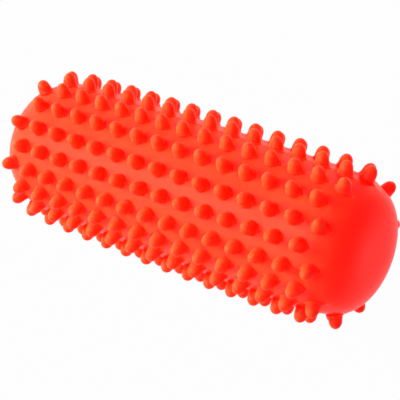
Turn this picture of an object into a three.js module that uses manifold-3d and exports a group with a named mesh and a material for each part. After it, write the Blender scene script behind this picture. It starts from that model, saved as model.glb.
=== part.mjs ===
// An air-filled massage roller: one moulded soft skin, a slightly bulging cylinder with
// shouldered ends and staggered rows of knobs, and the air valve in one of its ends.
// The roller's axis lies along X, the valve is at the -X end, and two rows of knobs stand on Z = 0.
import * as THREE from "three";
import { mergeVertices } from "three/addons/utils/BufferGeometryUtils.js";
import Module from "manifold-3d";

const wasm = await Module();
wasm.setup();

// Driving dimensions of the body, in millimetres
const overallLength = 180;
const bodyDiameter = 61;
const barrelRise = 1.3;
const shoulderLength = 28;
const shoulderPower = 3.6;
const endPadDiameter = 20;
const skinThickness = 2.2;

// The knob pattern: long rows alternate with rows that have one knob fewer
const knobRows = 20;
const longRowKnobs = 15;
const endMargin = 11.6;
const knobDiameter = 6.1;
const knobHeight = 5.5;
const knobRoot = 1;

// Rows that the mould sets off the even pattern: degrees round, millimetres along
const unevenRows = [9, 10, 11, 17, 18];
const unevenTurns = [-3.5, -2.6, -1.4, -4.5, 4.9];
const unevenShifts = [-0.4, -0.4, 0, -1.6, -0.2];

// The stopper, a push-in plug with a flat dished head
const stopperHeadDiameter = 9;
const stopperHeadThickness = 1.5;
const stopperHeadInset = 0.5;
const stopperEdgeBevel = 0.4;
const stopperDishDiameter = 5;
const stopperDishDepth = 0.5;
const stopperShankDiameter = 5;
const stopperTipDiameter = 4;
const stopperShankLength = 10;
const stopperTipLength = 1.5;

// The seat, a firm sleeve with a flange outside and a retaining collar inside
const seatFlangeDiameter = 13;
const seatFlangeThickness = 1.4;
const seatSleeveWall = 1.5;
const seatMouthBevel = 0.5;
const seatCollarOverhang = 1.2;
const seatCollarThickness = 1.6;

// The neck of the skin that the seat is pressed into
const neckWall = 2;
const neckLength = 5;
const pieceGap = 0.3;

// Facets
const knobSides = 6;
const shoulderSteps = 5;
const barrelSteps = 4;
const cavityShoulderSteps = 2;
const valveSides = 24;
const slopeStep = 0.01;
const cutOverrun = 1;

// Knob outline from its flank to its tip, as shares of its radius and height
const knobRadiusShares = [0.82, 0];
const knobHeightShares = [0.66, 1];

// Sizes that follow from the driving dimensions
const halfLength = overallLength / 2;
const bodyRadius = bodyDiameter / 2;
const endPadRadius = endPadDiameter / 2;
const knobRadius = knobDiameter / 2;
const knobPitch = (overallLength - 2 * endMargin) / (longRowKnobs - 1);
const rowAngle = (2 * Math.PI) / knobRows;
const padAngle = Math.asin((endPadRadius / bodyRadius) ** (shoulderPower / 2));
const shoulderStart = halfLength - shoulderLength * Math.cos(padAngle) ** (2 / shoulderPower);

// The valve's places along the axis, as depths below the face of the end pad
const headDepth = stopperHeadInset;
const headBackDepth = headDepth + stopperHeadThickness;
const shankEndDepth = headBackDepth + stopperShankLength;
const flangeDepth = headBackDepth + pieceGap;
const flangeBackDepth = flangeDepth + seatFlangeThickness;
const recessDepth = flangeBackDepth + pieceGap;
const cupDepth = recessDepth + skinThickness;
const neckDepth = cupDepth + neckLength;
const collarDepth = neckDepth + pieceGap;
const collarBackDepth = collarDepth + seatCollarThickness;

// The valve's radii, from the stopper outwards
const headRadius = stopperHeadDiameter / 2;
const dishRadius = stopperDishDiameter / 2;
const shankRadius = stopperShankDiameter / 2;
const tipRadius = stopperTipDiameter / 2;
const seatBoreRadius = shankRadius + pieceGap;
const sleeveRadius = seatBoreRadius + seatSleeveWall;
const flangeRadius = seatFlangeDiameter / 2;
const neckBoreRadius = sleeveRadius + pieceGap;
const neckRadius = neckBoreRadius + neckWall;
const collarRadius = neckBoreRadius + seatCollarOverhang;
const recessRadius = flangeRadius + pieceGap;
const cupRadius = recessRadius + skinThickness;

// Moulded materials
const softVinyl = new THREE.MeshStandardMaterial({ color: 0xf2512c, roughness: 0.5, metalness: 0 });
const firmVinyl = new THREE.MeshStandardMaterial({ color: 0xc93a1e, roughness: 0.4, metalness: 0 });
const plugPlastic = new THREE.MeshStandardMaterial({ color: 0xece7dc, roughness: 0.35, metalness: 0 });

// Turns an outline of [radius, place along the axis] points about the X axis.
function turned(outline, sides) {
  const points = outline.map(([radius, along]) => new THREE.Vector2(radius, along));
  return new THREE.LatheGeometry(points, sides).rotateZ(-Math.PI / 2);
}

// The closed solid inside a geometry.
function solidOf(geometry) {
  const bare = geometry.clone();
  bare.deleteAttribute("normal");
  bare.deleteAttribute("uv");
  const merged = mergeVertices(bare);
  const mesh = new wasm.Mesh({
    numProp: 3,
    vertProperties: merged.getAttribute("position").array,
    triVerts: new Uint32Array(merged.index.array),
  });
  return new wasm.Manifold(mesh);
}

// The flat-shaded geometry of a solid.
function geometryOf(solid) {
  const mesh = solid.getMesh();
  const geometry = new THREE.BufferGeometry();
  geometry.setAttribute("position", new THREE.BufferAttribute(mesh.vertProperties, mesh.numProp));
  geometry.setIndex(new THREE.BufferAttribute(mesh.triVerts, 1));
  const faceted = geometry.toNonIndexed();
  faceted.computeVertexNormals();
  return faceted;
}

// The body's radius at a place along its axis, counted from the middle.
function bodyRadiusAt(along) {
  const shoulderShare = Math.max(0, (Math.abs(along) - shoulderStart) / shoulderLength);
  const barrelRadius = bodyRadius - barrelRise * (along / halfLength) ** 2;
  return barrelRadius * (1 - shoulderShare ** shoulderPower) ** (1 / shoulderPower);
}

// How fast that radius grows along the axis.
function bodySlopeAt(along) {
  const ahead = bodyRadiusAt(along + slopeStep);
  const behind = bodyRadiusAt(along - slopeStep);
  return (ahead - behind) / (2 * slopeStep);
}

// Places along the +X shoulder, from its start to the edge of the end pad.
function shoulderPlaces(steps) {
  const places = [];
  for (let step = 0; step <= steps; step += 1) {
    const angle = THREE.MathUtils.lerp(Math.PI / 2, padAngle, step / steps);
    places.push(shoulderStart + shoulderLength * Math.cos(angle) ** (2 / shoulderPower));
  }
  return places;
}

// The body's outline from the centre of one end to the centre of the other, set in by a wall.
function bodyOutline(steps, wall) {
  const shoulder = shoulderPlaces(steps);
  const barrel = [];
  for (let step = 1; step < barrelSteps; step += 1) {
    barrel.push(THREE.MathUtils.lerp(-shoulderStart, shoulderStart, step / barrelSteps));
  }
  const mirrored = shoulder.map((along) => -along).reverse();
  const places = [...mirrored, ...barrel, ...shoulder];
  const outline = places.map((along) => {
    const atPad = Math.abs(along) >= shoulder[steps];
    const slope = atPad ? 0 : bodySlopeAt(along);
    const inset = wall / Math.hypot(1, slope);
    return [bodyRadiusAt(along) - inset, along + inset * slope];
  });
  const end = halfLength - wall;
  return { outline, end };
}

// The closed body: a revolve with one flat side under each row of knobs.
function bodySolid(steps, wall) {
  const { outline, end } = bodyOutline(steps, wall);
  const padEdge = outline[0][0];
  const side = outline.filter(([, along]) => Math.abs(along) < end);
  const closed = [[0, -end], [padEdge, -end], ...side, [padEdge, end], [0, end]];
  return solidOf(turned(closed, knobRows));
}

// One knob, standing on its root along +Y: a blunt bullet.
function knobGeometry() {
  const points = [new THREE.Vector2(0, -knobRoot), new THREE.Vector2(knobRadius, -knobRoot)];
  knobRadiusShares.forEach((radiusShare, index) => {
    points.push(new THREE.Vector2(knobRadius * radiusShare, knobHeight * knobHeightShares[index]));
  });
  return new THREE.LatheGeometry(points, knobSides);
}

// Where a knob stands: square to the skin, at a place along the axis and an angle round it.
function knobPlace(along, angle) {
  const slope = bodySlopeAt(along);
  const meridian = new THREE.Vector3(1, slope, 0).normalize();
  const outward = new THREE.Vector3(-slope, 1, 0).normalize();
  const around = new THREE.Vector3().crossVectors(meridian, outward);
  const place = new THREE.Matrix4().makeBasis(meridian, outward, around);
  place.setPosition(along, bodyRadiusAt(along), 0);
  return new THREE.Matrix4().makeRotationX(angle).multiply(place);
}

// Where a row of knobs stands: its angle about the axis and its shift along it.
function rowPlace(row) {
  const angle = (row + 1 / 2) * rowAngle - Math.PI / 2;
  const uneven = unevenRows.indexOf(row);
  if (uneven < 0) {
    return { angle, shift: 0 };
  }
  return { angle: angle + THREE.MathUtils.degToRad(unevenTurns[uneven]), shift: unevenShifts[uneven] };
}

// Every knob of the staggered pattern, placed on the body.
function knobSolids() {
  const knob = knobGeometry();
  const solids = [];
  for (let row = 0; row < knobRows; row += 1) {
    const count = longRowKnobs - (row % 2);
    const { angle, shift } = rowPlace(row);
    for (let index = 0; index < count; index += 1) {
      const along = (index - (count - 1) / 2) * knobPitch + shift;
      solids.push(solidOf(knob.clone().applyMatrix4(knobPlace(along, angle))));
    }
  }
  return solids;
}

// A turned solid of the valve, placed by depths below the face of the -X end.
function valveSolid(outline) {
  return solidOf(turned(outline, valveSides).translate(-halfLength, 0, 0));
}

// The cup and neck that the skin forms round the valve, before their bore is cut.
function neckSolid() {
  return valveSolid([
    [0, skinThickness / 2],
    [cupRadius, skinThickness / 2],
    [cupRadius, cupDepth],
    [neckRadius, cupDepth],
    [neckRadius, neckDepth],
    [0, neckDepth],
  ]);
}

// The stepped hole through the end: a recess for the flange and a bore for the sleeve.
function neckBore() {
  return valveSolid([
    [0, -cutOverrun],
    [recessRadius, -cutOverrun],
    [recessRadius, recessDepth],
    [neckBoreRadius, recessDepth],
    [neckBoreRadius, neckDepth + cutOverrun],
    [0, neckDepth + cutOverrun],
  ]);
}

// The moulded skin: hollow, knobbly, and thickened into a neck at the valve.
function rollerSkin() {
  const shell = bodySolid(shoulderSteps, 0).subtract(bodySolid(cavityShoulderSteps, skinThickness));
  const knobbly = knobSolids().reduce((skin, knob) => skin.add(knob), shell);
  const skin = knobbly.add(neckSolid()).subtract(neckBore());
  return new THREE.Mesh(geometryOf(skin), softVinyl);
}

// The seat: flange, sleeve and collar round one bore with a bevelled mouth.
function valveSeat() {
  const outline = [
    [seatBoreRadius + seatMouthBevel, flangeDepth],
    [flangeRadius, flangeDepth],
    [flangeRadius, flangeBackDepth],
    [sleeveRadius, flangeBackDepth],
    [sleeveRadius, collarDepth],
    [collarRadius, collarDepth],
    [sleeveRadius, collarBackDepth],
    [seatBoreRadius, collarBackDepth],
    [seatBoreRadius, flangeDepth + seatMouthBevel],
    [seatBoreRadius + seatMouthBevel, flangeDepth],
  ];
  return new THREE.Mesh(geometryOf(valveSolid(outline)), firmVinyl);
}

// The stopper: a dished head on a shank with a tapered tip.
function valveStopper() {
  const outline = [
    [0, headDepth + stopperDishDepth],
    [dishRadius - stopperDishDepth, headDepth + stopperDishDepth],
    [dishRadius, headDepth],
    [headRadius - stopperEdgeBevel, headDepth],
    [headRadius, headDepth + stopperEdgeBevel],
    [headRadius, headBackDepth],
    [shankRadius, headBackDepth],
    [shankRadius, shankEndDepth - stopperTipLength],
    [tipRadius, shankEndDepth],
    [0, shankEndDepth],
  ];
  return new THREE.Mesh(geometryOf(valveSolid(outline)), plugPlastic);
}

// The whole roller, lowered or raised until its lowest knobs touch Z = 0.
function massageRoller() {
  const pieces = { roller_skin: rollerSkin(), valve_seat: valveSeat(), valve_stopper: valveStopper() };
  const roller = new THREE.Group();
  for (const [name, mesh] of Object.entries(pieces)) {
    mesh.name = name;
    roller.add(mesh);
  }
  const reach = new THREE.Box3().setFromObject(roller);
  roller.position.z = -reach.min.z;
  return roller;
}

export default massageRoller();
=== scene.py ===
"""An air-filled massage roller: a knobbly skin of soft vinyl with a push-in air valve in one end.

The roller's axis lies along X with the valve at the -X end, and two rows of knobs stand on Z = 0.
"""

import logging
import math
from dataclasses import dataclass, field
from enum import Enum
from typing import ClassVar, Iterable

import bmesh
import bpy
from mathutils import Euler, Matrix, Vector


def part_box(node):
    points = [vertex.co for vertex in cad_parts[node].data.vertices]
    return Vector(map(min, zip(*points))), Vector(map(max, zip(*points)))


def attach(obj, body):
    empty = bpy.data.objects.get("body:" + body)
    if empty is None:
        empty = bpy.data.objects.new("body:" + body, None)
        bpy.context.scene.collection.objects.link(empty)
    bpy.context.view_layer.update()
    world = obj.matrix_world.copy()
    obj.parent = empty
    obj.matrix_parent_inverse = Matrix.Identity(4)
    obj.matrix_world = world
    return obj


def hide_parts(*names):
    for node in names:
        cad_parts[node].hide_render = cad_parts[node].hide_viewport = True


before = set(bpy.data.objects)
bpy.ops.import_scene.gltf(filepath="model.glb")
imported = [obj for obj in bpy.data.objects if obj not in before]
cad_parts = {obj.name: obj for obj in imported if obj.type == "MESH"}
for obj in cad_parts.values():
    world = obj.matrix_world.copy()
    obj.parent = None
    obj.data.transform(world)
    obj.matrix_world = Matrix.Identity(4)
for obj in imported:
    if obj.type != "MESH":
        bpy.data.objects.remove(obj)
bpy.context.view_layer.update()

LOG = logging.getLogger("roller")

Colour = tuple[float, float, float]
Point = tuple[float, float, float]
Outline = list[tuple[float, float]]

WHITE: Colour = (1.0, 1.0, 1.0)

# Points nearer to each other than this are joined, in metres
SKIN_JOIN = 2e-5
FINE_JOIN = 1e-6

# How a rounded corner of a turned outline is cut
ROUND_PROFILE = 0.5
ROUND_SEGMENTS = 2

# Sockets of a Mix node that blends colours, which shares its names with other kinds of socket
MIX_FIRST = 6
MIX_SECOND = 7
MIX_RESULT = 2

NODE_SPACING = 220.0
RIPPLE_WEIGHT = 2.0


class End(Enum):
    """The two ends of the roller, as directions along X."""

    VALVE = -1
    PLAIN = 1


class Row(Enum):
    """The two kinds of knob row, by how many knobs they hold fewer than the longest."""

    LONG = 0
    SHORT = 1


@dataclass(frozen=True)
class RowOffset:
    """How far a row of knobs stands off its even place: round the body and along it."""

    turn: float = 0.0
    shift: float = 0.0


def stamp(work: bmesh.types.BMesh, name: str) -> bpy.types.Mesh:
    """Keeps a worked bmesh as a mesh.

    Args:
        work: the bmesh, which is freed.
        name: the mesh's name.

    Returns:
        The new mesh.
    """
    mesh = bpy.data.meshes.new(name)
    work.to_mesh(mesh)
    work.free()
    return mesh


def bare_mesh(work: bmesh.types.BMesh, name: str, join: float) -> bpy.types.Object:
    """Closes a worked bmesh and puts it into the scene as a smooth object.

    Args:
        work: the bmesh, which is freed.
        name: the object's name.
        join: points nearer to each other than this are joined.

    Returns:
        The new object, at the origin.
    """
    bmesh.ops.remove_doubles(work, verts=work.verts, dist=join)
    bmesh.ops.recalc_face_normals(work, faces=work.faces)
    for face in work.faces:
        face.smooth = True
    piece = bpy.data.objects.new(name, stamp(work, name))
    bpy.context.scene.collection.objects.link(piece)
    return piece


def smooth_by_subdivision(piece: bpy.types.Object, levels: int) -> None:
    """Adds a subdivision surface with the same level in the view and in the render.

    Args:
        piece: the object to smooth.
        levels: how often each face is split.
    """
    smoothing = piece.modifiers.new("smooth", "SUBSURF")
    smoothing.levels = levels
    smoothing.render_levels = levels


def spin_outline(
    work: bmesh.types.BMesh,
    outline: Outline,
    steps: int,
    corners: Iterable[int] = (),
    round_off: float = 0.0,
) -> None:
    """Turns an outline about the X axis, with its corners rounded first.

    Args:
        work: the bmesh that takes the turned surface.
        outline: points as (place along X, radius).
        steps: how many sides the turned surface has.
        corners: which points are corners.
        round_off: how far from each corner its rounding starts.
    """
    points = [work.verts.new((along, 0.0, -radius)) for along, radius in outline]
    lines = [work.edges.new(pair) for pair in zip(points, points[1:])]
    sharp = [points[index] for index in corners]
    if sharp:
        before = set(work.verts) - set(points)
        bmesh.ops.bevel(
            work,
            geom=sharp,
            offset=round_off,
            offset_type="OFFSET",
            segments=ROUND_SEGMENTS,
            profile=ROUND_PROFILE,
            affect="VERTICES",
            material=-1,
            clamp_overlap=True,
        )
        points = [vert for vert in work.verts if vert not in before]
        lines = list(dict.fromkeys(line for vert in points for line in vert.link_edges))
    bmesh.ops.spin(
        work,
        geom=points + lines,
        cent=(0.0, 0.0, 0.0),
        axis=(1.0, 0.0, 0.0),
        angle=math.tau,
        steps=steps,
        use_merge=True,
    )


class NodeBoard:
    """A small helper that adds and joins nodes in a node tree."""

    def __init__(self, tree: bpy.types.NodeTree) -> None:
        """Takes the tree to work on.

        Args:
            tree: a material's, world's or group's node tree.
        """
        self.tree = tree
        self.placed = 0

    @classmethod
    def emptied(cls, owner: bpy.types.Material | bpy.types.World) -> "NodeBoard":
        """Clears the nodes of a material or a world.

        Args:
            owner: what the nodes belong to.

        Returns:
            A board on the empty tree.
        """
        owner.use_nodes = True
        owner.node_tree.nodes.clear()
        return cls(owner.node_tree)

    def add(self, kind: str, settings: dict | None = None, **inputs: object) -> bpy.types.Node:
        """Adds a node.

        Args:
            kind: the node's type name.
            settings: the node's own options.
            inputs: values or output sockets, by input name with _ for each space.

        Returns:
            The new node.
        """
        node = self.tree.nodes.new(kind)
        node.location = (NODE_SPACING * self.placed, 0.0)
        self.placed += 1
        for name, value in (settings or {}).items():
            setattr(node, name, value)
        for name, value in inputs.items():
            self.feed(node.inputs[name.replace("_", " ")], value)
        return node

    def feed(self, socket: bpy.types.NodeSocket, value: object) -> None:
        """Sets an input, or joins an output to it.

        Args:
            socket: the input.
            value: a plain value, or the output socket of another node.
        """
        if isinstance(value, bpy.types.NodeSocket):
            self.tree.links.new(value, socket)
        else:
            socket.default_value = value

    def calculate(self, operation: str, first: object, second: object) -> bpy.types.NodeSocket:
        """Joins two values with one arithmetic step.

        Args:
            operation: the Math node's operation.
            first: a number or an output socket.
            second: a number or an output socket.

        Returns:
            The result's socket.
        """
        node = self.add("ShaderNodeMath", {"operation": operation})
        self.feed(node.inputs[0], first)
        self.feed(node.inputs[1], second)
        return node.outputs[0]

    def ramp(self, value: object, low: object, high: object) -> bpy.types.NodeSocket:
        """Turns a value into a soft mask from 0 at low to 1 at high.

        Args:
            value: the output socket to read.
            low: where the mask starts.
            high: where the mask is full.

        Returns:
            The mask's socket.
        """
        settings = {"interpolation_type": "SMOOTHSTEP", "clamp": True}
        node = self.add("ShaderNodeMapRange", settings, From_Min=low, From_Max=high)
        self.feed(node.inputs["Value"], value)
        return node.outputs["Result"]

    def blend(self, mask: object, first: object, second: object) -> bpy.types.NodeSocket:
        """Blends two colours by a mask.

        Args:
            mask: the share of the second colour.
            first: a colour or an output socket.
            second: a colour or an output socket.

        Returns:
            The blended colour's socket.
        """
        node = self.add("ShaderNodeMix", {"data_type": "RGBA"})
        self.feed(node.inputs["Factor"], mask)
        self.feed(node.inputs[MIX_FIRST], first)
        self.feed(node.inputs[MIX_SECOND], second)
        return node.outputs[MIX_RESULT]

    def noise(self, place: object, scale: object, **inputs: float) -> bpy.types.NodeSocket:
        """Adds a noise texture.

        Args:
            place: the socket with the place on the object.
            scale: how fine the noise is, in waves per metre, or an output socket.
            inputs: values for the texture's other inputs.

        Returns:
            The socket of the noise's value.
        """
        settings = {"noise_dimensions": "3D"}
        node = self.add("ShaderNodeTexNoise", settings, Vector=place, Scale=scale, **inputs)
        return node.outputs[0]


def opaque(colour: Colour) -> tuple[float, float, float, float]:
    """Returns a colour with full alpha, as colour sockets want it."""
    return (*colour, 1.0)


class Effect(Enum):
    """Surface effects, each one node group that any finish can place."""

    GRAIN = "moulded grain"
    DRIFT = "pigment drift"
    HANDLING = "handling wear"
    RAISED = "raised places"

    def group(self) -> bpy.types.NodeTree:
        """Returns this effect's node group, making it the first time."""
        made = bpy.data.node_groups.get(self.value)
        if made is None:
            made = {
                Effect.GRAIN: build_grain,
                Effect.DRIFT: build_drift,
                Effect.HANDLING: build_handling,
                Effect.RAISED: build_raised,
            }[self](self.value)
        return made


def new_group(
    name: str, output: str, inputs: dict[str, float]
) -> tuple[NodeBoard, dict[str, bpy.types.NodeSocket], bpy.types.NodeSocket]:
    """Starts a shader node group that reads a place and puts out one number.

    Args:
        name: the group's name.
        output: the output's name.
        inputs: starting values of the numeric inputs, by name.

    Returns:
        The group's board, what it takes in by name, and the socket that it gives out.
    """
    tree = bpy.data.node_groups.new(name, "ShaderNodeTree")
    tree.interface.new_socket(name="Place", in_out="INPUT", socket_type="NodeSocketVector")
    for label, value in inputs.items():
        socket = tree.interface.new_socket(
            name=label, in_out="INPUT", socket_type="NodeSocketFloat"
        )
        socket.default_value = value
    tree.interface.new_socket(name=output, in_out="OUTPUT", socket_type="NodeSocketFloat")
    board = NodeBoard(tree)
    taken = board.add("NodeGroupInput").outputs
    given = board.add("NodeGroupOutput").inputs
    return board, {label: taken[label] for label in ("Place", *inputs)}, given[output]


def build_grain(name: str) -> bpy.types.NodeTree:
    """Makes the fine orange-peel texture that a mould leaves on vinyl.

    Args:
        name: the group's name.

    Returns:
        The group, which puts out a height.
    """
    board, taken, height = new_group(name, "Height", {"Pores": 2200.0, "Ripple": 320.0})
    pores = board.noise(taken["Place"], taken["Pores"], Detail=3.0, Roughness=0.6)
    ripple = board.noise(taken["Place"], taken["Ripple"], Detail=2.0, Roughness=0.5)
    coarse = board.calculate("MULTIPLY", ripple, RIPPLE_WEIGHT)
    board.feed(height, board.calculate("ADD", pores, coarse))
    return board.tree


def build_drift(name: str) -> bpy.types.NodeTree:
    """Makes the slow, faint unevenness of pigment in moulded vinyl.

    Args:
        name: the group's name.

    Returns:
        The group, which puts out a mask about one half.
    """
    board, taken, mask = new_group(name, "Mask", {"Scale": 28.0})
    cloud = board.noise(taken["Place"], taken["Scale"], Detail=3.0, Roughness=0.55)
    board.feed(mask, board.ramp(cloud, low=0.3, high=0.7))
    return board.tree


def build_handling(name: str) -> bpy.types.NodeTree:
    """Makes the faint rubbed patches of a thing that is handled.

    Args:
        name: the group's name.

    Returns:
        The group, which puts out a mask of rubbed places.
    """
    board, taken, mask = new_group(name, "Mask", {"Scale": 90.0})
    patches = board.noise(
        taken["Place"], taken["Scale"], Detail=5.0, Roughness=0.7, Distortion=0.4
    )
    board.feed(mask, board.ramp(patches, low=0.5, high=0.75))
    return board.tree


def build_raised(name: str) -> bpy.types.NodeTree:
    """Makes a mask of all that stands far from the roller's axis.

    Args:
        name: the group's name.

    Returns:
        The group, which puts out a mask of the knobs.
    """
    inputs = {"Axis Height": 0.0, "Start": 0.0, "Full": 1.0}
    board, taken, mask = new_group(name, "Mask", inputs)
    parts = board.add("ShaderNodeSeparateXYZ", Vector=taken["Place"]).outputs
    rise = board.calculate("SUBTRACT", parts["Z"], taken["Axis Height"])
    across = board.calculate("POWER", parts["Y"], 2.0)
    up = board.calculate("POWER", rise, 2.0)
    reach = board.calculate("POWER", board.calculate("ADD", across, up), 0.5)
    board.feed(mask, board.ramp(reach, taken["Start"], taken["Full"]))
    return board.tree


@dataclass(frozen=True)
class RaisedTone:
    """Another tone for the solid knobs, by their distance from the roller's axis: lighter and more
    orange than the body, partly the knobs' own tone and partly painted light that brightens their
    domes.
    """

    colour: Colour
    axis_height: float = 0.0356
    start: float = 0.0308
    full: float = 0.0325


@dataclass(frozen=True)
class MouldedFinish:
    """A moulded plastic or vinyl surface."""

    name: str
    colour: Colour
    deep_colour: Colour
    roughness: float
    rubbed_roughness: float
    grain_depth: float
    pores: float
    subsurface: float = 0.0
    subsurface_radius: Colour = (1.0, 0.2, 0.1)
    subsurface_scale: float = 0.002
    specular: float = 0.5
    # Painted glow: an emission colour and strength that make the surface shine without any lamp
    painted_glow: Colour = (0.0, 0.0, 0.0)
    painted_glow_strength: float = 0.0
    raised: RaisedTone | None = None

    def material(self) -> bpy.types.Material:
        """Returns this finish as a node material."""
        material = bpy.data.materials.new(self.name)
        board = NodeBoard.emptied(material)
        place = board.add("ShaderNodeTexCoord").outputs["Object"]
        rough = board.add(
            "ShaderNodeMapRange",
            Value=self.effect(board, Effect.HANDLING, place),
            To_Min=self.roughness,
            To_Max=self.rubbed_roughness,
        )
        relief = board.add(
            "ShaderNodeBump",
            Height=self.effect(board, Effect.GRAIN, place, Pores=self.pores),
            Strength=1.0,
            Distance=self.grain_depth,
        )
        shader = board.add(
            "ShaderNodeBsdfPrincipled",
            Base_Color=self.tone(board, place),
            Roughness=rough.outputs["Result"],
            Normal=relief.outputs["Normal"],
            Subsurface_Weight=self.subsurface,
            Subsurface_Radius=self.subsurface_radius,
            Subsurface_Scale=self.subsurface_scale,
            Specular_IOR_Level=self.specular,
            # Painted glow: this emission stands in for light that passes through the skin and
            # lifts the shaded sides
            Emission_Color=opaque(self.painted_glow),
            Emission_Strength=self.painted_glow_strength,
        )
        board.add("ShaderNodeOutputMaterial", Surface=shader.outputs[0])
        return material

    def tone(self, board: NodeBoard, place: bpy.types.NodeSocket) -> bpy.types.NodeSocket:
        """Mixes the surface's colour.

        Args:
            board: the material's board.
            place: the socket with the place on the object.

        Returns:
            The colour's socket.
        """
        drift = self.effect(board, Effect.DRIFT, place)
        colour = board.blend(drift, opaque(self.deep_colour), opaque(self.colour))
        if self.raised is None:
            return colour
        # The knobs' lighter tone is partly painted light that brightens them against the body
        knobs = self.effect(
            board,
            Effect.RAISED,
            place,
            Axis_Height=self.raised.axis_height,
            Start=self.raised.start,
            Full=self.raised.full,
        )
        return board.blend(knobs, colour, opaque(self.raised.colour))

    def effect(
        self, board: NodeBoard, effect: Effect, place: bpy.types.NodeSocket, **inputs: float
    ) -> bpy.types.NodeSocket:
        """Adds one of the effects.

        Args:
            board: the material's board.
            effect: which effect.
            place: the socket with the place on the object.
            inputs: values for the effect's other inputs.

        Returns:
            The effect's output socket.
        """
        node = board.add("ShaderNodeGroup", {"node_tree": effect.group()}, Place=place, **inputs)
        return node.outputs[0]


# Painted glow: a faint red emission stands for light that travels through the translucent skin,
# and it keeps the shaded sides bright red
SOFT_VINYL = MouldedFinish(
    name="soft_orange_red_vinyl",
    colour=(0.93, 0.082, 0.0260),
    deep_colour=(0.92, 0.078, 0.0245),
    roughness=0.37,
    rubbed_roughness=0.33,
    grain_depth=0.00002,
    pores=2200.0,
    subsurface=0.7,
    subsurface_radius=(1.0, 0.05, 0.025),
    subsurface_scale=0.005,
    specular=0.15,
    painted_glow=(1.0, 0.0, 0.0),
    painted_glow_strength=0.62,
    raised=RaisedTone(colour=(0.93, 0.120, 0.026)),
)

FIRM_VINYL = MouldedFinish(
    name="firm_red_vinyl",
    colour=(0.62, 0.035, 0.012),
    deep_colour=(0.56, 0.028, 0.010),
    roughness=0.42,
    rubbed_roughness=0.34,
    grain_depth=0.00001,
    pores=3000.0,
    specular=0.4,
)

PLUG_PLASTIC = MouldedFinish(
    name="off_white_plug_plastic",
    colour=(0.50, 0.48, 0.43),
    deep_colour=(0.46, 0.44, 0.39),
    roughness=0.4,
    rubbed_roughness=0.32,
    grain_depth=0.00001,
    pores=2600.0,
    subsurface=0.2,
    subsurface_radius=(1.0, 0.8, 0.6),
    subsurface_scale=0.001,
)


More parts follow.
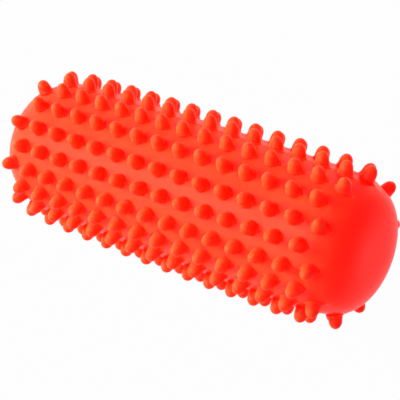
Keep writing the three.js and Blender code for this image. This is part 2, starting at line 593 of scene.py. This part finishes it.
@dataclass
class KnobbedSkin:
    """The moulded skin: a bulging, shouldered body with rows of knobs and a neck for the valve."""

    axis_height: float
    length: float = 0.180
    radius: float = 0.0305
    barrel_rise: float = 0.0013
    shoulder_length: float = 0.028
    shoulder_power: float = 3.6
    shoulder_steps: int = 7
    pad_radius: float = 0.010
    wall: float = 0.0022
    rows: int = 20
    long_row_knobs: int = 15
    knob_pitch: float = 0.0112
    knob_sides: int = 8
    knob_profile: Outline = field(
        default_factory=lambda: [
            (0.0, 0.0042),
            (0.00015, 0.00335),
            (0.0020, 0.00318),
            (0.0037, 0.00291),
            (0.00495, 0.00195),
            (0.0055, 0.00072),
            (0.0055, 0.0),
        ]
    )
    flare_height: float = 0.0002
    flare_inset: float = 0.00012
    uneven_rows: dict[int, RowOffset] = field(
        default_factory=lambda: {
            9: RowOffset(math.radians(-3.5), -0.0004),
            10: RowOffset(math.radians(-2.6), -0.0004),
            11: RowOffset(math.radians(-1.4), 0.0),
            17: RowOffset(math.radians(-4.5), -0.0016),
            18: RowOffset(math.radians(4.9), -0.0002),
        }
    )
    inner_corner: float = 0.0002
    inner_places: tuple[float, ...] = (0.086, 0.082, 0.074, 0.062, 0.04, 0.015)
    recess_radius: float = 0.0068
    recess_depth: float = 0.0040
    bore_radius: float = 0.0046
    neck_radius: float = 0.0066
    neck_depth: float = 0.0112
    cup_radius: float = 0.0090
    cup_depth: float = 0.0062
    rounding: float = 0.0004

    @property
    def half(self) -> float:
        """Half the roller's length."""
        return self.length / 2

    @property
    def row_turn(self) -> float:
        """The angle from one row of knobs to the next."""
        return math.tau / self.rows

    @property
    def row_width(self) -> float:
        """The width of one row's strip of skin, round the body."""
        return self.radius * self.row_turn

    @property
    def pad_turn(self) -> float:
        """The shoulder curve's own angle at the edge of the flat pad."""
        return math.asin((self.pad_radius / self.radius) ** (self.shoulder_power / 2))

    @property
    def shoulder_start(self) -> float:
        """Where the shoulder starts, from the middle."""
        share = math.cos(self.pad_turn) ** (2 / self.shoulder_power)
        return self.half - self.shoulder_length * share

    def radius_at(self, along: float) -> float:
        """Finds the body's radius.

        Args:
            along: the place along the axis, from the middle.

        Returns:
            The radius there, without knobs.
        """
        share = max(0.0, (abs(along) - self.shoulder_start) / self.shoulder_length)
        barrel = self.radius - self.barrel_rise * (along / self.half) ** 2
        return barrel * max(0.0, 1 - share**self.shoulder_power) ** (1 / self.shoulder_power)

    def slope_at(self, along: float) -> float:
        """Finds how fast the radius grows along the axis.

        Args:
            along: the place along the axis.

        Returns:
            The slope there.
        """
        step = 1e-5
        return (self.radius_at(along + step) - self.radius_at(along - step)) / (2 * step)

    def on_body(self, along: float, angle: float) -> Vector:
        """Finds a point of the body's surface.

        Args:
            along: the place along the axis.
            angle: the angle about the axis, from +Y towards +Z.

        Returns:
            The point, with the axis through the origin.
        """
        radius = self.radius_at(along)
        return Vector((along, radius * math.cos(angle), radius * math.sin(angle)))

    def plain_patch(self, long_faces: int, length: float) -> bmesh.types.BMesh:
        """Makes a flat patch of skin, one row wide and two faces across.

        Args:
            long_faces: how many faces it has along the roller.
            length: how far it reaches along the roller.

        Returns:
            The patch, centred on the origin, in X and Y.
        """
        patch = bmesh.new()
        bmesh.ops.create_grid(patch, x_segments=long_faces, y_segments=2, size=0.5)
        bmesh.ops.scale(patch, vec=(length, self.row_width, 1.0), verts=patch.verts)
        return patch

    def knob_cell(self) -> bmesh.types.BMesh:
        """Makes one knob with the patch of skin that it stands on.

        Returns:
            The cell, flat in X and Y, with the knob pointing up.
        """
        cell = self.plain_patch(2, self.knob_pitch)
        middle = min(cell.verts, key=lambda vert: vert.co.length)
        bmesh.ops.delete(cell, geom=[middle], context="VERTS")
        rim = list(cell.edges)
        chain = [cell.verts.new((radius, 0.0, height)) for height, radius in self.knob_profile]
        lines = [cell.edges.new(pair) for pair in zip(chain, chain[1:])]
        bmesh.ops.spin(
            cell,
            geom=chain + lines,
            cent=(0.0, 0.0, 0.0),
            axis=(0.0, 0.0, 1.0),
            angle=math.tau,
            steps=self.knob_sides,
            use_merge=True,
        )
        bmesh.ops.remove_doubles(cell, verts=cell.verts, dist=FINE_JOIN)
        foot = [line for line in cell.edges if len(line.link_faces) == 1]
        bmesh.ops.bridge_loops(cell, edges=rim + foot)
        return cell

    def row_angle(self, row: int) -> float:
        """Returns the angle at which a row stands in the even pattern."""
        return (row + 0.5) * self.row_turn - math.pi / 2

    def row_kind(self, row: int) -> Row:
        """Returns whether a row is a long or a short one."""
        return Row(row % len(Row))

    def offset(self, row: int) -> RowOffset:
        """Returns how far a row stands off the even pattern."""
        return self.uneven_rows.get(row % self.rows, RowOffset())

    def strip_turn(self, row: int, side: int, along: float) -> float:
        """Finds the middle line or a border of a row's strip of skin, which leans with its rows.

        Args:
            row: the strip's row.
            side: -1 or 1 for a border, 0 for the middle line.
            along: the place along the axis.

        Returns:
            The angle from the row's even place.
        """
        room = self.long_row_knobs - 2 * abs(along) / self.knob_pitch
        mean = (self.offset(row).turn + self.offset(row + side).turn) / 2
        return side * self.row_turn / 2 + mean * min(1.0, max(0.0, room))

    def lay_plain(self, verts: Iterable[bmesh.types.BMVert], along: float, row: int) -> None:
        """Bends a plain patch, or the edge of a cell, round the body.

        Args:
            verts: the patch's points.
            along: where its middle goes along the axis.
            row: the row that it belongs to.
        """
        for vert in verts:
            place = along + vert.co.x
            side = round(2 * vert.co.y / self.row_width)
            vert.co = self.on_body(place, self.row_angle(row) + self.strip_turn(row, side, place))

    def lay_knob(self, verts: Iterable[bmesh.types.BMVert], along: float, row: int) -> None:
        """Stands a knob on the body, square to the skin, with its flare inside the cell.

        Args:
            verts: the knob's points.
            along: where the middle of its cell goes along the axis.
            row: the row that it belongs to.
        """
        offset = self.offset(row)
        slope = self.slope_at(along + offset.shift)
        flat = math.hypot(1.0, slope)
        here = self.radius_at(along + offset.shift)
        even = self.row_angle(row)
        angle = even + offset.turn
        outward = Vector((-slope / flat, math.cos(angle) / flat, math.sin(angle) / flat))
        for vert in verts:
            across, around, height = vert.co
            reach = offset.shift + across / flat
            turn = offset.turn + around / here
            if height < self.flare_height:
                inset = self.flare_inset + height / 2
                room = self.knob_pitch / 2 - inset
                reach = min(room, max(-room, reach))
                low = self.strip_turn(row, -1, along + reach) + inset / here
                high = self.strip_turn(row, 1, along + reach) - inset / here
                turn = min(high, max(low, turn))
            vert.co = self.on_body(along + reach, even + turn) + height * outward

    def lay_cell(self, verts: Iterable[bmesh.types.BMVert], along: float, row: int) -> None:
        """Lays a cell on the body: its edge with its neighbours, its knob in its own place.

        Args:
            verts: the cell's points.
            along: where its middle goes along the axis.
            row: the row that it belongs to.
        """
        reach, width = self.knob_pitch / 2 - FINE_JOIN, self.row_width / 2 - FINE_JOIN
        edge = [vert for vert in verts if abs(vert.co.x) > reach or abs(vert.co.y) > width]
        knob = [vert for vert in verts if vert not in edge]
        self.lay_plain(edge, along, row)
        self.lay_knob(knob, along, row)

    def add_rows(self, work: bmesh.types.BMesh) -> int:
        """Lays all rows of knobs, and the plain half patches at the ends of the short rows.

        Args:
            work: the bmesh that takes them.

        Returns:
            How many knobs there are.
        """
        cell = stamp(self.knob_cell(), "knob cell")
        half_patch = stamp(self.plain_patch(1, self.knob_pitch / 2), "half patch")
        knobs = 0
        for row in range(self.rows):
            kind = self.row_kind(row)
            count = self.long_row_knobs - kind.value
            middle = (count - 1) / 2
            places = [((index - middle) * self.knob_pitch, cell) for index in range(count)]
            if kind is Row.SHORT:
                # The middle of a half patch lies a quarter of a pitch beyond the last cell
                reach = (count / 2 + 1 / 4) * self.knob_pitch
                places += [(end.value * reach, half_patch) for end in End]
            for along, mesh in places:
                start = len(work.verts)
                work.from_mesh(mesh)
                work.verts.ensure_lookup_table()
                lay = self.lay_plain if mesh is half_patch else self.lay_cell
                lay(work.verts[start:], along, row)
            knobs += count
        bpy.data.meshes.remove(cell)
        bpy.data.meshes.remove(half_patch)
        return knobs

    def shoulder(self) -> Outline:
        """Lists the end's outline from the last row's edge to the edge of the flat pad.

        Returns:
            Points as (distance from the middle, radius).
        """
        edge = (self.long_row_knobs / 2) * self.knob_pitch
        share = (edge - self.shoulder_start) / self.shoulder_length
        first = math.acos(share ** (self.shoulder_power / 2))
        points = []
        for step in range(self.shoulder_steps + 1):
            turn = first + (self.pad_turn - first) * step / self.shoulder_steps
            reach = self.shoulder_length * math.cos(turn) ** (2 / self.shoulder_power)
            along = self.shoulder_start + reach
            points.append((along, self.radius_at(along)))
        return points

    def inner_wall(self) -> Outline:
        """Lists the inside of the skin from the valve's cup to the middle of the plain end.

        Returns:
            Points as (place along X, radius).
        """
        along_side = [self.half - self.wall - self.inner_corner, *self.inner_places]
        places = [-along for along in along_side] + along_side[::-1]
        side = [(along, self.radius_at(along) - self.wall) for along in places]
        side[0] = (side[0][0], self.cup_radius + self.wall)
        side[-1] = (side[-1][0], self.pad_radius)
        inner_face = self.half - self.wall
        return side + [(inner_face, self.pad_radius / 2), (inner_face, 0.0)]

    def valve_well(self) -> Outline:
        """Lists the recess, the bore and the outside of the neck, down into the hollow.

        Returns:
            Points as (place along X, radius).
        """
        depths_and_radii = [
            (0.0, self.recess_radius),
            (self.recess_depth, self.recess_radius),
            (self.recess_depth, self.bore_radius),
            (self.neck_depth, self.bore_radius),
            (self.neck_depth, self.neck_radius),
            (self.cup_depth, self.neck_radius),
            (self.cup_depth, self.cup_radius),
            (self.wall, self.cup_radius),
        ]
        return [(-self.half + depth, radius) for depth, radius in depths_and_radii]

    def add_ends(self, work: bmesh.types.BMesh) -> None:
        """Adds both ends, the valve's recess and neck, and the inside of the skin.

        Args:
            work: the bmesh that holds the rows.
        """
        sides = self.rows * 2
        shoulder = self.shoulder()
        spin_outline(work, shoulder + [(self.half, self.pad_radius / 2), (self.half, 0.0)], sides)
        outer = [(-along, radius) for along, radius in shoulder]
        well = self.valve_well()
        corners = range(len(outer), len(outer) + len(well))
        spin_outline(work, outer + well + self.inner_wall(), sides, corners, self.rounding)

    def build(self) -> bpy.types.Object:
        """Makes the skin and dresses it.

        Returns:
            The finished piece.
        """
        work = bmesh.new()
        knobs = self.add_rows(work)
        self.add_ends(work)
        bmesh.ops.translate(work, vec=(0.0, 0.0, self.axis_height), verts=work.verts)
        piece = bare_mesh(work, "knobbed_skin", SKIN_JOIN)
        smooth_by_subdivision(piece, 1)
        piece.data.materials.append(SOFT_VINYL.material())
        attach(piece, "roller")
        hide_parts("roller_skin")
        LOG.info("knobbed_skin: %d knobs, %d faces", knobs, len(piece.data.polygons))
        return piece


@dataclass
class TurnedPiece:
    """A piece of the valve, turned about the roller's axis."""

    axis_height: float
    end_face: float = -0.090
    sides: int = 48
    rounding: float = 0.00025

    name: ClassVar[str]
    node: ClassVar[str]
    slot: ClassVar[str]
    finish: ClassVar[MouldedFinish]
    body: ClassVar[str] = "roller"

    def outline(self) -> Outline:
        """Lists the piece's outline as (depth below the end face, radius)."""
        raise NotImplementedError

    def build(self) -> bpy.types.Object:
        """Makes the piece and dresses it.

        Returns:
            The finished piece.
        """
        work = bmesh.new()
        points = [(self.end_face + depth, radius) for depth, radius in self.outline()]
        between = range(1, len(points) - 1)
        corners = [index for index in between if points[index][1] > 0]
        spin_outline(work, points, self.sides, corners, self.rounding)
        bmesh.ops.translate(work, vec=(0.0, 0.0, self.axis_height), verts=work.verts)
        piece = bare_mesh(work, self.name, FINE_JOIN)
        piece.modifiers.new("flat faces", "WEIGHTED_NORMAL")
        piece.data.materials.append(self.finish.material())
        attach(piece, self.body)
        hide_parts(self.node)
        LOG.info("%s: %d faces", self.name, len(piece.data.polygons))
        return piece


@dataclass
class ValveSeat(TurnedPiece):
    """The firm sleeve that is pressed into the skin's neck, with its flange and collar."""

    flange_depth: float = 0.0023
    flange_back: float = 0.0037
    collar_depth: float = 0.0115
    collar_back: float = 0.0131
    bore_radius: float = 0.0028
    sleeve_radius: float = 0.0043
    flange_radius: float = 0.0065
    collar_radius: float = 0.0058
    mouth_bevel: float = 0.0005

    name = "valve_sleeve"
    node = "valve_seat"
    slot = "firm_vinyl"
    finish = FIRM_VINYL

    def outline(self) -> Outline:
        """Lists the sleeve's closed outline as (depth below the end face, radius)."""
        start = (self.flange_depth, (self.bore_radius + self.flange_radius) / 2)
        return [
            start,
            (self.flange_depth, self.flange_radius),
            (self.flange_back, self.flange_radius),
            (self.flange_back, self.sleeve_radius),
            (self.collar_depth, self.sleeve_radius),
            (self.collar_depth, self.collar_radius),
            (self.collar_back, self.sleeve_radius),
            (self.collar_back, self.bore_radius),
            (self.flange_depth + self.mouth_bevel, self.bore_radius),
            (self.flange_depth, self.bore_radius + self.mouth_bevel),
            start,
        ]


@dataclass
class Stopper(TurnedPiece):
    """The push-in plug: a dished head on a shank with a tapered tip."""

    head_depth: float = 0.0005
    head_back: float = 0.0020
    dish_depth: float = 0.0005
    dish_radius: float = 0.0025
    head_radius: float = 0.0045
    shank_radius: float = 0.0025
    shank_end: float = 0.0120
    tip_length: float = 0.0015
    tip_radius: float = 0.0020

    name = "stopper_plug"
    node = "valve_stopper"
    body = "stopper"
    slot = "plug_plastic"
    finish = PLUG_PLASTIC

    def outline(self) -> Outline:
        """Lists the plug's outline as (depth below the end face, radius)."""
        return [
            (self.head_depth + self.dish_depth, 0.0),
            (self.head_depth + self.dish_depth, self.dish_radius - self.dish_depth),
            (self.head_depth, self.dish_radius),
            (self.head_depth, self.head_radius),
            (self.head_back, self.head_radius),
            (self.head_back, self.shank_radius),
            (self.shank_end - self.tip_length, self.shank_radius),
            (self.shank_end, self.tip_radius),
            (self.shank_end, 0.0),
        ]


@dataclass
class Lamp:
    """A soft, white, rectangular lamp that points at the roller."""

    name: str
    place: Point
    width: float
    height: float
    power: float
    mirrored: bool = True
    aim: Point = (0.0, 0.0, 0.03)

    def build(self) -> None:
        """Puts the lamp into the scene."""
        data = bpy.data.lights.new(self.name, "AREA")
        data.shape = "RECTANGLE"
        data.size, data.size_y = self.width, self.height
        data.energy = self.power
        lamp = bpy.data.objects.new(self.name, data)
        direction = Vector(self.aim) - Vector(self.place)
        facing = direction.to_track_quat("-Z", "Y").to_matrix()
        lamp.matrix_world = Matrix.Translation(self.place) @ facing.to_4x4()
        lamp.visible_glossy = self.mirrored
        bpy.context.scene.collection.objects.link(lamp)


@dataclass
class Studio:
    """An almost white floor and soft lamps, with plain white behind."""

    floor_size: float = 6.0
    floor_colour: Colour = (0.20, 0.20, 0.20)
    floor_white: float = 0.985
    surroundings: float = 0.0
    lamps: list[Lamp] = field(
        default_factory=lambda: [
            Lamp("key lamp", (-1.054, -0.633, 0.453), 0.75, 0.75, 24.0, mirrored=False),
            Lamp("front lamp", (-0.526, -1.032, 0.620), 1.2, 1.2, 11.0),
            Lamp("back lamp", (-0.13, 0.92, 0.23), 0.5, 0.4, 9.0, mirrored=False),
        ]
    )

    def seen_directly(self, board: NodeBoard) -> bpy.types.NodeSocket:
        """Finds whether a ray comes from the camera, a reflection or a clear material.

        Args:
            board: the board of a material or the world.

        Returns:
            A socket that is 1 for such rays and 0 for all others.
        """
        rays = board.add("ShaderNodeLightPath").outputs
        mirrored = board.calculate("MAXIMUM", rays["Is Glossy Ray"], rays["Is Transmission Ray"])
        return board.calculate("MAXIMUM", rays["Is Camera Ray"], mirrored)

    def build_world(self) -> None:
        """Shows plain white behind the roller, which doesn't light it."""
        world = bpy.data.worlds.new("pale studio")
        bpy.context.scene.world = world
        board = NodeBoard.emptied(world)
        strength = board.add(
            "ShaderNodeMapRange",
            Value=self.seen_directly(board),
            To_Min=self.surroundings,
            To_Max=1.0,
        )
        sky = board.add(
            "ShaderNodeBackground", Color=opaque(WHITE), Strength=strength.outputs["Result"]
        )
        board.add("ShaderNodeOutputWorld", Surface=sky.outputs[0])

    def build_floor(self) -> None:
        """Makes the floor, which shows almost white and keeps a faint shadow."""
        work = bmesh.new()
        bmesh.ops.create_grid(work, x_segments=1, y_segments=1, size=self.floor_size / 2)
        floor = bare_mesh(work, "floor", FINE_JOIN)
        material = bpy.data.materials.new("pale floor")
        board = NodeBoard.emptied(material)
        paper = board.add("ShaderNodeBsdfDiffuse", Color=opaque(self.floor_colour))
        white = board.add("ShaderNodeEmission", Color=opaque(WHITE), Strength=1.0)
        share = board.calculate("MULTIPLY", self.seen_directly(board), self.floor_white)
        mixed = board.add("ShaderNodeMixShader")
        for socket, value in zip(mixed.inputs, (share, paper.outputs[0], white.outputs[0])):
            board.feed(socket, value)
        board.add("ShaderNodeOutputMaterial", Surface=mixed.outputs[0])
        floor.data.materials.append(material)

    def build(self) -> None:
        """Sets up the floor, the lamps and the surroundings."""
        self.build_world()
        self.build_floor()
        for lamp in self.lamps:
            lamp.build()
        LOG.info("studio: %d lamps", len(self.lamps))


@dataclass
class PhotoCamera:
    """The camera at the photograph's place."""

    place: Point = (0.37010, -0.42852, 0.36748)
    target: Point = (0.00266, 0.00021, 0.03290)
    roll: float = -4.024
    lens: float = 140.26
    sensor: float = 36.0
    nearest: float = 0.01
    farthest: float = 50.0

    def build(self) -> None:
        """Puts the camera into the scene and makes it the scene's own."""
        data = bpy.data.cameras.new("photo camera")
        data.lens = self.lens
        data.sensor_width = self.sensor
        data.clip_start, data.clip_end = self.nearest, self.farthest
        camera = bpy.data.objects.new("photo camera", data)
        direction = Vector(self.target) - Vector(self.place)
        facing = direction.to_track_quat("-Z", "Y").to_matrix()
        rolled = facing @ Euler((0.0, 0.0, math.radians(self.roll))).to_matrix()
        camera.matrix_world = Matrix.Translation(self.place) @ rolled.to_4x4()
        bpy.context.scene.collection.objects.link(camera)
        bpy.context.scene.camera = camera
        LOG.info("camera: %.0f mm lens", self.lens)


def write_sizes() -> None:
    """Updates the view layer."""
    bpy.context.view_layer.update()


def main() -> None:
    """Builds the roller, its valve and the studio."""
    logging.basicConfig(level=logging.INFO, format="%(message)s")
    bpy.context.scene.view_settings.view_transform = "Standard"
    low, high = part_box("roller_skin")
    axis_height = (low.z + high.z) / 2
    PhotoCamera().build()
    for piece in (KnobbedSkin(axis_height), ValveSeat(axis_height), Stopper(axis_height)):
        piece.build()
    Studio().build()
    write_sizes()


if __name__ == "__main__":
    main()
